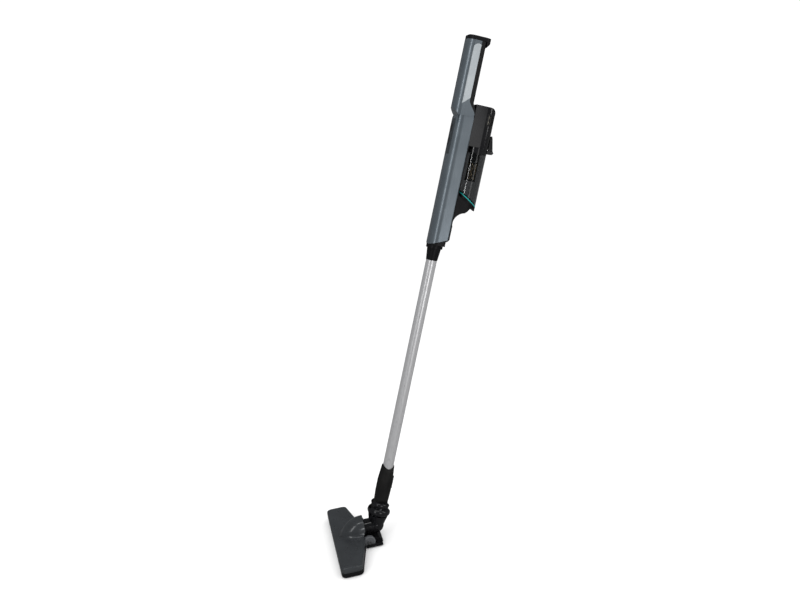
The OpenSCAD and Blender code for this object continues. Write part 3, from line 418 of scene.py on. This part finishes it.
def build_bristles():
    """Two carrier bars, each with a row of nylon tufts made of tapered filaments."""
    low, high = (Vector(v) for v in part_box("bristle_strips"))
    verts, faces = [], []

    def slab(a, b):
        start = len(verts)
        verts.extend(Vector((x, y, z)) for x in (a.x, b.x) for y in (a.y, b.y) for z in (a.z, b.z))
        sides = ((0, 1, 3, 2), (4, 6, 7, 5), (0, 4, 5, 1), (2, 3, 7, 6), (0, 2, 6, 4), (1, 5, 7, 3))
        faces.extend(tuple(start + corner for corner in side) for side in sides)

    def filament(root, tip):
        start = len(verts)
        for middle, size in ((root, ROOT_SIZE), (tip, TIP_SIZE)):
            verts.extend(middle + size * Vector((math.cos(q), math.sin(q), 0))
                         for q in (0, math.tau / 3, 2 * math.tau / 3))
        faces.extend((start + q, start + (q + 1) % 3, start + 3 + (q + 1) % 3, start + 3 + q)
                     for q in range(3))
        faces.append((start + 3, start + 4, start + 5))

    half = BAR_WIDTH / 2
    for x in (low.x + half, high.x - half):
        slab(Vector((x - half, low.y, low.z + BAR_LIFT)), Vector((x + half, high.y, high.z)))
        for i in range(TUFTS):
            y = low.y + TUFT_MARGIN + (high.y - low.y - 2 * TUFT_MARGIN) * i / (TUFTS - 1)
            for k in range(FILAMENTS):
                turn = k * math.tau / FILAMENTS + i
                radius = TUFT_RADIUS if k else 0.0
                ahead, aside = radius * math.cos(turn), radius * math.sin(turn)
                root = Vector((x + ahead, y + ROOT_STRETCH * aside, low.z + ROOT_LIFT))
                tip = Vector((root.x + TIP_LEAN * ahead, root.y + aside, low.z + UNEVEN * (k % 3)))
                filament(root, tip)
    obj = add_mesh("bristle_tufts", verts, faces, "bristles", "head", ("bristle_strips",))
    for face in obj.data.polygons:
        face.use_smooth = False
    return obj


build_head_cover()
build_bristles()


# ---- camera, floor and light ----

CAMERA_PLACE = Vector((HINGE.x - 0.157, -1.669, 0.8836))
CAMERA_AZIMUTH = math.radians(-9.0)     # from square on to the side, towards the front
CAMERA_PITCH = math.radians(12.6)       # looking down
CAMERA_ROLL = math.radians(-8.2)
LENS, SENSOR = 38.25, 36.0

# each light's name, place, target, width and height in metres, and power in watts
LIGHTS = (
    ("key", (-1.5, -1.9, 1.6), (0.25, 0, 0.75), (0.3, 1.8), 11),
    ("front", (0.75, -1.95, 0.85), (0.25, 0, 0.6), (0.4, 1.5), 1.9),
    ("low", (0.5, -1.8, 0.16), (0.05, 0, 0.05), (0.5, 0.2), 2.6),
    ("top", (0.0, -0.9, 1.95), (0.1, 0, 0.1), (1.2, 0.15), 4),
    ("rim", (1.9, -0.9, 1.2), (0.25, 0, 0.75), (0.2, 1.8), 6),
)
FLOOR_SIZE = 60.0
FLOOR_IN_GLOSS = (0.12, 0.12, 0.12, 1)  # glossy parts see a darker floor
BACKDROP_STRENGTH = 1.08                # white seen by the camera and by diffuse light
STUDIO_COLOUR, STUDIO_STRENGTH = (0.9, 0.95, 1, 1), 0.12    # seen in reflections


def make_camera():
    """The photograph's view: from the side, looking down a little, rolled with the wand."""
    level = math.cos(CAMERA_PITCH)
    ahead = -Vector((math.sin(CAMERA_AZIMUTH) * level, -math.cos(CAMERA_AZIMUTH) * level,
                     math.sin(CAMERA_PITCH)))
    right = ahead.cross(Vector((0, 0, 1))).normalized()
    up = right.cross(ahead)
    rolled = right * math.cos(CAMERA_ROLL) + up * math.sin(CAMERA_ROLL)
    lifted = up * math.cos(CAMERA_ROLL) - right * math.sin(CAMERA_ROLL)
    cam = bpy.data.objects.new("camera", bpy.data.cameras.new("camera"))
    turn = Matrix((rolled, lifted, -ahead)).transposed().to_4x4()
    cam.matrix_world = Matrix.Translation(CAMERA_PLACE) @ turn
    cam.data.lens = LENS
    cam.data.sensor_width = SENSOR
    bpy.context.scene.collection.objects.link(cam)
    bpy.context.scene.camera = cam


def area_light(name, place, target, size, power):
    data = bpy.data.lights.new(name, "AREA")
    data.shape = "RECTANGLE"
    data.size, data.size_y = size
    data.energy = power
    lamp = bpy.data.objects.new(name, data)
    lamp.location = place
    lamp.rotation_euler = (Vector(target) - Vector(place)).to_track_quat("-Z", "Y").to_euler()
    bpy.context.scene.collection.objects.link(lamp)


def make_floor():
    """Pale matt floor with a faint cloudiness."""
    mesh = bpy.data.meshes.new("floor")
    half = FLOOR_SIZE / 2
    mesh.from_pydata([(-half, -half, 0), (half, -half, 0), (half, half, 0), (-half, half, 0)], [],
                     [(0, 1, 2, 3)])
    floor = bpy.data.objects.new("floor", mesh)
    bpy.context.scene.collection.objects.link(floor)
    mat, tree, shader = new_material("floor")
    tint = tree.nodes.new("ShaderNodeMix")
    tint.data_type = "RGBA"
    path = tree.nodes.new("ShaderNodeLightPath")
    tree.links.new(path.outputs["Is Glossy Ray"], tint.inputs["Factor"])
    tree.links.new(ramp(tree, noise(tree, 3.0), (0.955, 0.955, 0.955), (0.965, 0.965, 0.965)),
                   tint.inputs["A"])
    tint.inputs["B"].default_value = FLOOR_IN_GLOSS
    tree.links.new(tint.outputs["Result"], shader.inputs["Base Color"])
    shader.inputs["Roughness"].default_value = 0.9
    shader.inputs["Specular IOR Level"].default_value = 0.0
    mesh.materials.append(mat)


def make_world():
    """White surroundings that only show as a dim studio in reflections."""
    world = bpy.data.worlds.new("studio")
    bpy.context.scene.world = world
    world.use_nodes = True
    tree = world.node_tree
    seen = tree.nodes["Background"]
    seen.inputs["Color"].default_value = (1, 1, 1, 1)
    seen.inputs["Strength"].default_value = BACKDROP_STRENGTH
    dim = node(tree, "ShaderNodeBackground", Color=STUDIO_COLOUR, Strength=STUDIO_STRENGTH)
    pick = tree.nodes.new("ShaderNodeMixShader")
    path = tree.nodes.new("ShaderNodeLightPath")
    plain = math_node(tree, "MAXIMUM", path.outputs["Is Camera Ray"],
                      path.outputs["Is Diffuse Ray"])
    tree.links.new(plain, pick.inputs[0])
    tree.links.new(dim.outputs[0], pick.inputs[1])
    tree.links.new(seen.outputs[0], pick.inputs[2])
    tree.links.new(pick.outputs[0], tree.nodes["World Output"].inputs["Surface"])


make_camera()
make_floor()
make_world()
for light in LIGHTS:
    area_light(*light)
bpy.context.scene.view_settings.view_transform = "Standard"
